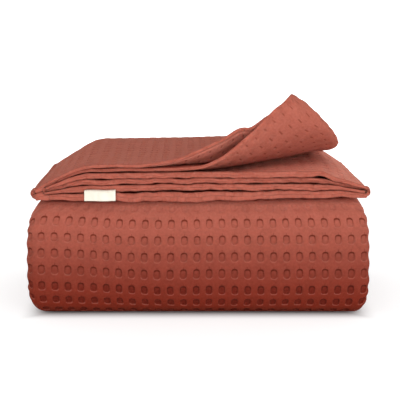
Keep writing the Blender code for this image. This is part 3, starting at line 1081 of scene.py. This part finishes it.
COARSE = 1.0
FOLD_SPACING = 0.0022 * COARSE


def edged(layer, edge, fine, wide):
    """A layer's whole width, with close points along both its edges."""
    return (layer, 0, edge, fine), (layer, edge, 1 - edge, wide), (layer, 1 - edge, 1, fine)


def whole(spacing, *stretches):
    return tuple((stretch, 0, 1, spacing) for stretch in stretches)


# Each piece's layers as (layer, from, to, spacing), and its way as (stretch, from, to, spacing)
TUCKED_START = (3, 0.94, 1, 0.006)
TUCKED_END = (1, 0, 0.06, 0.006)
FLAP_ROWS = (("flap", 0, 0.014, 0.0006), ("flap", 0.014, 0.055, 0.0013))
PIECES = (
    # name, layers, way, height at which its length is measured, a pocket row's place
    ("front_wrap",
     (TUCKED_START, (6, 0, 1, 0.00128), TUCKED_END),
     (("pass_four", 0.72, 1, 0.006), *whole(0.0013, "top_corner", "face"),
      ("bottom_corner", 0, 1, 0.0017), ("base", 0, 0.12, 0.005)),
     0.0, "face"),
    ("base_wrap",
     (TUCKED_START, (6, 0, 1, 0.0023), TUCKED_END),
     (("base", 0.12, 1, 0.005), ("lower_turn", 0, 1, 0.0023), ("pass_two", 0, 0.12, 0.005)),
     0.0, "after front_wrap"),
    ("pass_four",
     (TUCKED_START, *edged(6, 0.06, 0.005, 0.02), TUCKED_END),
     (("pass_four", 0, 0.72, 0.003),),
     0.0, "before front_wrap"),
    ("outer_folds",
     ((1, 0.94, 1, 0.006), *edged(2, 0.1, 0.005, 0.03), *edged(5, 0.1, 0.005, 0.03),
      (4, 0, 1, 0.03)),
     (*whole(0.003, "pass_four", "top_corner", "face", "bottom_corner", "base", "lower_turn"),
      ("pass_two", 0, 0.12, 0.003)),
     0.0155, 0.0),
    ("inner_passes",
     ((3, 0, 0.92, 0.03), (3, 0.92, 1, 0.005), *edged(6, 0.08, 0.005, 0.008),
      *edged(1, 0.08, 0.005, 0.008), *edged(2, 0.1, 0.005, 0.012), *edged(5, 0.1, 0.005, 0.012),
      (4, 0, 1, 0.012)),
     (("pass_two", 0.12, 1, 0.003), ("nested_turn", 0, 1, 0.003),
      ("pass_three", 0, 0.94, 0.003), ("pass_three", 0.94, 1, 0.0009)),
     0.0155, "after base_wrap"),
    ("flap_top",
     ((6, 0.96, 1, 0.002), (1, 0, 1, 0.0022), (2, 0, 0.62, 0.0024), (2, 0.62, 0.96, 0.008)),
     (*FLAP_ROWS, ("flap", 0.055, 1, 0.0027), ("upper_turn", 0, 1, 0.0028)),
     0.036, FIRST_ROW),
    ("flap_lower",
     ((3, 0, 1, 0.0026), (6, 0, 0.96, 0.003)),
     (*FLAP_ROWS, ("flap", 0.055, 0.2, 0.0024), ("flap", 0.2, 0.6, 0.003),
      ("flap", 0.6, 1, 0.012), ("upper_turn", 0, 1, 0.003)),
     0.0264, FIRST_ROW),
    ("flap_middle",
     ((2, 0.96, 1, 0.006), (5, 0, 1, 0.003), (4, 0, 1, 0.003)),
     (*FLAP_ROWS, ("flap", 0.055, 0.2, 0.0024), ("flap", 0.2, 1, 0.012),
      ("upper_turn", 0, 1, 0.004)),
     0.015, FIRST_ROW),
)


def coarsened(rows):
    return [(*row[:3], row[3] * COARSE) for row in rows]


def way_length(stretches, height):
    return sum(stretch_length(*stretch[:3], height) for stretch in stretches)


def face_pocket(stretches):
    """Along the front wrap, the place of the pocket row at FACE_POCKET_Z."""
    return way_length(stretches[:2], 0.0) + WRAP_TOP - CORNER - FACE_POCKET_Z


def pocket_row_place(rule, stretches, height, done):
    """A pocket row's place along a piece, so that its rows go on from the piece beside it.
    done holds the pieces already made, as name: (pocket row, length)."""
    if rule == "face":
        return face_pocket(stretches)
    if isinstance(rule, float):
        return rule
    way, neighbour = rule.split()
    row, length = done[neighbour]
    return row - length if way == "after" else row + way_length(stretches, height)


def make_blanket(material):
    done = {}
    for name, legs, stretches, height, rule in PIECES:
        row = pocket_row_place(rule, stretches, height, done)
        done[name] = (row, way_length(stretches, height))
        cloth_piece(name, coarsened(legs), coarsened(stretches), height, row, material)


# ---------------------------------------------------------------- the label

LABEL_X = -0.1128
LABEL_WIDTH = 0.036
LABEL_COLUMNS = 28
LABEL_TOP = 0.1422
LABEL_BOTTOM = 0.1309
LABEL_FRONT = -0.1522
LABEL_TONGUE = 0.006      # how far it reaches in between the hems
LABEL_TAPE = 0.0007       # its thickness
LABEL_BEND = 0.0028       # radius over the hem
LABEL_FOLD = 0.0005       # radius of its fold at the bottom
LABEL_RETURN = 0.005      # how far below its top its back leaf ends
LABEL_WAVE = 0.0004


def label_path():
    """The tape's way from between the hems, over the lowest hem and down, then back up
    behind itself, as (y, z)."""
    path = [(LABEL_FRONT + LABEL_TONGUE, LABEL_TOP), (LABEL_FRONT + LABEL_BEND, LABEL_TOP)]
    for step in range(1, 7):
        angle = pi / 2 * step / 6
        y = LABEL_FRONT + LABEL_BEND * (1 - sin(angle))
        path.append((y, LABEL_TOP - LABEL_BEND * (1 - cos(angle))))
    for step in range(1, 8):
        z = mix(LABEL_TOP - LABEL_BEND, LABEL_BOTTOM + LABEL_FOLD, step / 7)
        path.append((LABEL_FRONT, z))
    for step in range(1, 5):
        angle = pi * step / 4
        y = LABEL_FRONT + LABEL_FOLD * (1 - cos(angle))
        path.append((y, LABEL_BOTTOM + LABEL_FOLD * (1 - sin(angle))))
    path.append((LABEL_FRONT + 2 * LABEL_FOLD, LABEL_TOP - LABEL_RETURN))
    return path


def make_label(material):
    """A doubled tape whose fold hangs over the lowest hem."""
    path = label_path()
    sheet, place = flat_sheet(LABEL_COLUMNS, len(path) - 1)
    for corner in sheet.verts:
        column, row, side = place(corner)
        x = LABEL_X + LABEL_WIDTH * (column / LABEL_COLUMNS - 0.5)
        before, after = path[max(row - 1, 0)], path[min(row + 1, len(path) - 1)]
        way = Vector((after[0] - before[0], after[1] - before[1])).normalized()
        out = LABEL_TAPE / 2 * (1 if side == 0 else -1)
        y, z = path[row][0] - way.y * out, path[row][1] + way.x * out
        wave = LABEL_WAVE * sin(column / LABEL_COLUMNS * 2 * pi + 0.6)
        corner.co = (x, y + wave, z * LOFT * (1 + LEAN * x / HALF_WIDTH) + 0.5 * wave)
    bmesh.ops.recalc_face_normals(sheet, faces=sheet.faces)
    piece = make_object("label_tape", sheet, material)
    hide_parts("label")
    return piece


# ---------------------------------------------------------------- floor, light, camera

TABLE_SIDE = 8.0          # how far the table and the wall reach to each side
TABLE_FRONT = -6.0
WALL_Y = 4.0
WALL_HEIGHT = 3.0
GLOW_NEAR = 0.58          # the table's glow at the pile, and GLOW_REACH behind it
GLOW_FAR = 1.0
GLOW_REACH = 1.6
GLOW_EDGE = (-0.03, 0.012)     # distances from the pile's edge over which the glow starts
PILE_CENTRE = (0.0, 0.0, 0.1)
SOFTBOXES = (
    # name, place, size, watts
    ("overhead_softbox", (0.0, -0.3, 2.4), (2.4, 2.0), 4),
    ("high_front_softbox", (0.0, -1.9, 1.7), (2.4, 1.0), 15),
    ("front_softbox", (0.4, -2.5, 0.46), (2.6, 0.8), 38),
)
ROOM_LIGHT = 0.50


def white_table():
    """A light grey matt material with a painted white glow that grows behind the pile, and none
    below it.
    """
    material, tree, shader = new_material("white table")
    mottle = noise_field(tree, object_place(tree), 3.0, 2.0)
    colour = mix_colour(tree, mottle, (0.56, 0.56, 0.56, 1), (0.60, 0.60, 0.60, 1))
    tree.links.new(colour, shader.inputs["Base Color"])
    x, y = parts_of(tree, object_place(tree))[:2]
    behind = smooth_range(tree, y, 0.0, GLOW_REACH)
    near, far = [(glow, glow, glow, 1) for glow in (GLOW_NEAR, GLOW_FAR)]
    glow = mix_colour(tree, behind, near, far)
    beyond = [math(tree, "SUBTRACT", math(tree, "ABSOLUTE", place), half)
              for place, half in ((x, HALF_WIDTH), (y, -FRONT))]
    clear = smooth_range(tree, math(tree, "MAXIMUM", *beyond), *GLOW_EDGE)
    glow = mix_colour(tree, clear, (0, 0, 0, 1), glow)
    # painted light: the table glows though it is no lamp
    tree.links.new(glow, shader.inputs["Emission Color"])
    shader.inputs["Emission Strength"].default_value = 1.0
    shader.inputs["Roughness"].default_value = 0.9
    shader.inputs["Specular IOR Level"].default_value = 0.1
    return material


def make_plane(name, material, corners):
    mesh = bmesh.new()
    mesh.faces.new([mesh.verts.new(corner) for corner in corners])
    data = bpy.data.meshes.new(name)
    mesh.to_mesh(data)
    mesh.free()
    data.materials.append(material)
    plane = bpy.data.objects.new(name, data)
    bpy.context.collection.objects.link(plane)


def make_floor():
    """A white table top, and a white wall far behind it."""
    white = white_table()
    foot = ((TABLE_SIDE, WALL_Y, 0), (-TABLE_SIDE, WALL_Y, 0))
    make_plane("floor", white,
               ((-TABLE_SIDE, TABLE_FRONT, 0), (TABLE_SIDE, TABLE_FRONT, 0), *foot))
    make_plane("backdrop", white,
               (*foot[::-1], (TABLE_SIDE, WALL_Y, WALL_HEIGHT), (-TABLE_SIDE, WALL_Y, WALL_HEIGHT)))


def softbox(name, place, size, power):
    light = bpy.data.lights.new(name, "AREA")
    light.shape = "RECTANGLE"
    light.size, light.size_y = size
    light.energy = power
    lamp = bpy.data.objects.new(name, light)
    bpy.context.collection.objects.link(lamp)
    lamp.location = place
    to_pile = Vector(PILE_CENTRE) - Vector(place)
    lamp.rotation_euler = to_pile.to_track_quat("-Z", "Y").to_euler()


def light_scene():
    for box in SOFTBOXES:
        softbox(*box)
    world = bpy.data.worlds.new("studio")
    world.use_nodes = True
    world.node_tree.nodes["Background"].inputs["Color"].default_value = (1, 1, 1, 1)
    world.node_tree.nodes["Background"].inputs["Strength"].default_value = ROOM_LIGHT
    bpy.context.scene.world = world
    bpy.context.scene.view_settings.view_transform = "Standard"


def place_camera():
    lens = bpy.data.cameras.new("camera")
    lens.lens = CAMERA_LENS
    lens.sensor_width = SENSOR_WIDTH
    camera = bpy.data.objects.new("camera", lens)
    bpy.context.collection.objects.link(camera)
    camera.location = CAMERA_PLACE
    camera.rotation_euler = (pi / 2 - CAMERA_PITCH, 0.0, 0.0)
    bpy.context.scene.camera = camera


def main():
    cells = waffle_group()
    yarns = yarn_group()
    make_floor()
    make_blanket(waffle_cotton(cells, yarns))
    make_label(label_tape(yarns))
    light_scene()
    place_camera()


main()
